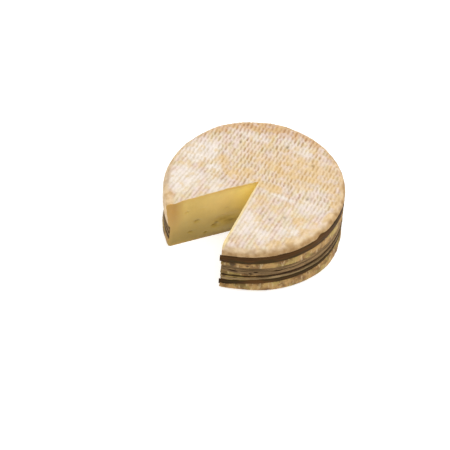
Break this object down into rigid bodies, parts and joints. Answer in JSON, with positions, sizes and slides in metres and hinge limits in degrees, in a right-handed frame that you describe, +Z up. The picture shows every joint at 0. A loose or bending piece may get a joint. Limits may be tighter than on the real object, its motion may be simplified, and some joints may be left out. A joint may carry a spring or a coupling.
{
  "type": "livarot cheese",
  "caption": "Small washed-rind wheel of soft cheese with a wedge cut out, its side bound with flat strips of dried sedge.",
  "frame": {"origin": "middle of the flat foot's plane, under the middle of the box round the cut wheel", "axes": "+Z up from the foot to the top; -Y out of the notch, along the line halfway between its two cut faces; +X to the right for someone who looks into the notch"},
  "size_m": [0.12, 0.1156, 0.0408],
  "materials": {
    "rind": "matte washed rind, ridged, cream over ochre",
    "dark_sedge": "dried sedge leaf, dark brown, faint sheen along the grain",
    "brown_sedge": "dried sedge leaf, frayed, grey-brown",
    "pale_sedge": "dried sedge leaf, light grey-brown"
  },
  "bodies": {
    "root": {"cheese": "rind", "strap_top": "dark_sedge", "strap_middle": "brown_sedge", "strap_thin": "dark_sedge", "strap_pale": "pale_sedge", "strap_bottom": "dark_sedge"}
  },
  "joints": []
}
